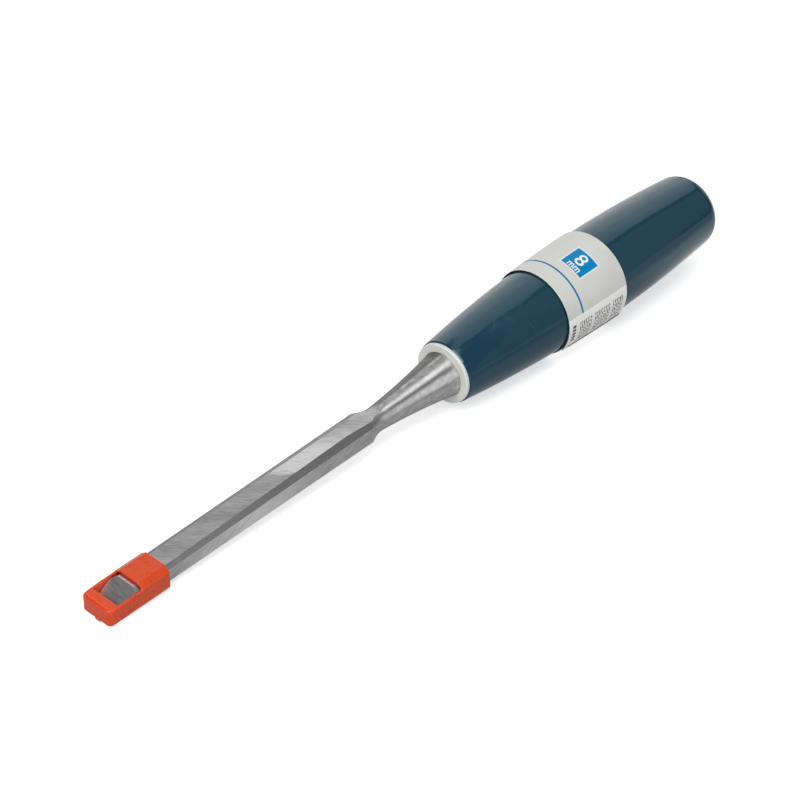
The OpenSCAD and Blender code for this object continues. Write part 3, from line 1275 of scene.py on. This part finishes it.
LAMPS = (
    Softbox(
        "back_panel", (0.82, 0.645, 0.496), (0.82, 0.179, -0.0265), size=(1.08, 1.727), radiance=1.25,
        fade=0.45, rest=0.5,
    ),
    Softbox("end_panel", (1.45, 0.25, 0.20), (0.0, 0.0, 0.0), size=(1.3, 0.7), radiance=0.5),
    Softbox("glint", (0.07, 0.60, 0.80), (-0.216, 0.0, 0.0), size=(0.12, 0.25), radiance=6.0),
    Softbox("top_strip", (-0.11, -0.26, 1.0), (-0.11, -0.22, 0.0), size=(0.88, 0.46), radiance=2.2),
    Softbox(
        "front_panel", (-0.22, -1.165, 0.50), (-0.22, -0.547, 0.172), size=(1.15, 1.132), radiance=1.75,
        fade=0.35,
    ),
    Softbox("dim_panel", (0.93, -0.793, 0.4375), (0.93, -0.349, -0.1035), size=(1.14, 1.632), radiance=0.19),
    Softbox("key", (-0.95, -0.15, 0.85), (-0.1, 0.0, 0.0), size=(0.8, 0.8), radiance=4.9),
)


@dataclass
class Studio:
    """Floor, lamps and camera."""

    eye: Triple = (-0.49991, -0.33478, 0.41099)
    aim: Triple = (-0.12089, 0.00067, 0.0)
    roll: float = 1.48
    lens: float = 115.09
    sensor: float = 36.0
    nearest: float = 0.01
    air: float = 0.03
    floor_size: float = 6.0
    floor_crease: float = 1.0
    belly: float = -12.37 * MM
    belly_at: float = -69 * MM
    toe: float = -3.25 * MM
    toe_at: float = -226.25 * MM
    clearance: float = 0.06 * MM
    card_below: float = 1.0 * MM
    wall_radius: float = 2.9
    wall_foot: float = -0.4
    wall_top: float = 1.5
    wall_sides: int = 48
    wall_crease: float = 30.0
    floor_finish: PaleFloor = PaleFloor("pale_floor", grey(0.86), near_glow=0.55, far_glow=0.55, rim_glow=1.0)
    wall_finish: PaleFloor = PaleFloor("white_wall", grey(0.0), near_glow=1.0, far_glow=1.0)
    card_finish: PaleFloor = PaleFloor(
        "grey_card", grey(0.0), near_glow=0.45, far_glow=1.0, reach=0.06, end_glow=0.85, dusk=0.04
    )

    def ground(self, name: str, drop: float) -> Object:
        """Builds a plane under the front edge of the band and the toe of the guard, level beyond the toe.

        Args:
            name: Name of the plane.
            drop: Distance below the tool.

        Returns:
            The plane.
        """
        slope = (self.toe - self.belly) / (self.toe_at - self.belly_at)
        half = self.floor_size / 2
        end = self.belly + slope * (half - self.belly_at)
        line = ((-half, self.toe), (self.toe_at, self.toe), (half, end))
        mesh = bmesh.new()
        near, far = ([mesh.verts.new((x, y, z - drop)) for x, z in line] for y in (-half, half))
        for i in range(len(line) - 1):
            mesh.faces.new((near[i], near[i + 1], far[i + 1], far[i]))
        return finished(name, mesh, self.floor_crease)

    def wall(self) -> Object:
        """Builds a round white wall far behind the floor.

        Returns:
            The wall.
        """
        mesh = bmesh.new()
        turns = [2 * math.pi * i / self.wall_sides for i in range(self.wall_sides)]
        ring = [(self.wall_radius * math.cos(turn), self.wall_radius * math.sin(turn)) for turn in turns]
        foot, top = ([mesh.verts.new((x, y, z)) for x, y in ring] for z in (self.wall_foot, self.wall_top))
        for i in range(self.wall_sides):
            mesh.faces.new((foot[i - 1], top[i - 1], top[i], foot[i]))
        return finished("white_wall", mesh, self.wall_crease)

    def floor(self) -> None:
        """Adds the floor and wall that the camera sees, and the darker card that the tool mirrors."""
        floor = self.ground("floor", self.clearance)
        cover(floor, self.floor_finish.build())
        wall = self.wall()
        wall.visible_shadow = False
        cover(wall, self.wall_finish.build())
        for piece in (floor, wall):
            piece.visible_glossy = False
            piece.visible_diffuse = False
            piece.visible_transmission = False
        card = self.ground("grey_card", self.clearance + self.card_below)
        card.visible_camera = False
        card.visible_shadow = False
        cover(card, self.card_finish.build())

    def lights(self) -> None:
        """Adds the soft lamps and the dim air."""
        world = bpy.data.worlds.new("studio")
        world.use_nodes = True
        world.node_tree.nodes["Background"].inputs["Color"].default_value = opaque(grey(self.air))
        bpy.context.scene.world = world
        for lamp in LAMPS:
            lamp.build()

    def camera(self) -> None:
        """Adds the camera at the photographed angle."""
        lens = bpy.data.cameras.new("camera")
        lens.lens = self.lens
        lens.sensor_width = self.sensor
        lens.sensor_fit = "HORIZONTAL"
        lens.clip_start = self.nearest
        piece = linked("camera", lens)
        piece.matrix_world = looking(self.eye, self.aim, self.roll)
        bpy.context.scene.camera = piece

    def build(self) -> None:
        """Sets the whole studio up."""
        bpy.context.scene.view_settings.view_transform = "Standard"
        self.camera()
        self.floor()
        self.lights()
        LOG.info("studio ready")


def main() -> None:
    """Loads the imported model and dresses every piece."""
    logging.basicConfig(level=logging.INFO, format="%(name)s: %(message)s")
    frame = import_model()
    nodes = frame["nodes"]
    wood_low, wood_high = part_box("handle")
    band_low, band_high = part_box("label")
    barrel = Barrel(length=wood_high.x - wood_low.x)
    Studio().build()
    Handle(nodes["handle"]).dress()
    Ferrule(nodes["ferrule"]).dress()
    Blade(nodes["blade"]).dress()
    Guard(nodes["blade_guard"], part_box("blade_guard")).dress()
    Band(barrel, rear=-band_high.x, front=-band_low.x).dress()


if __name__ == "__main__":
    main()
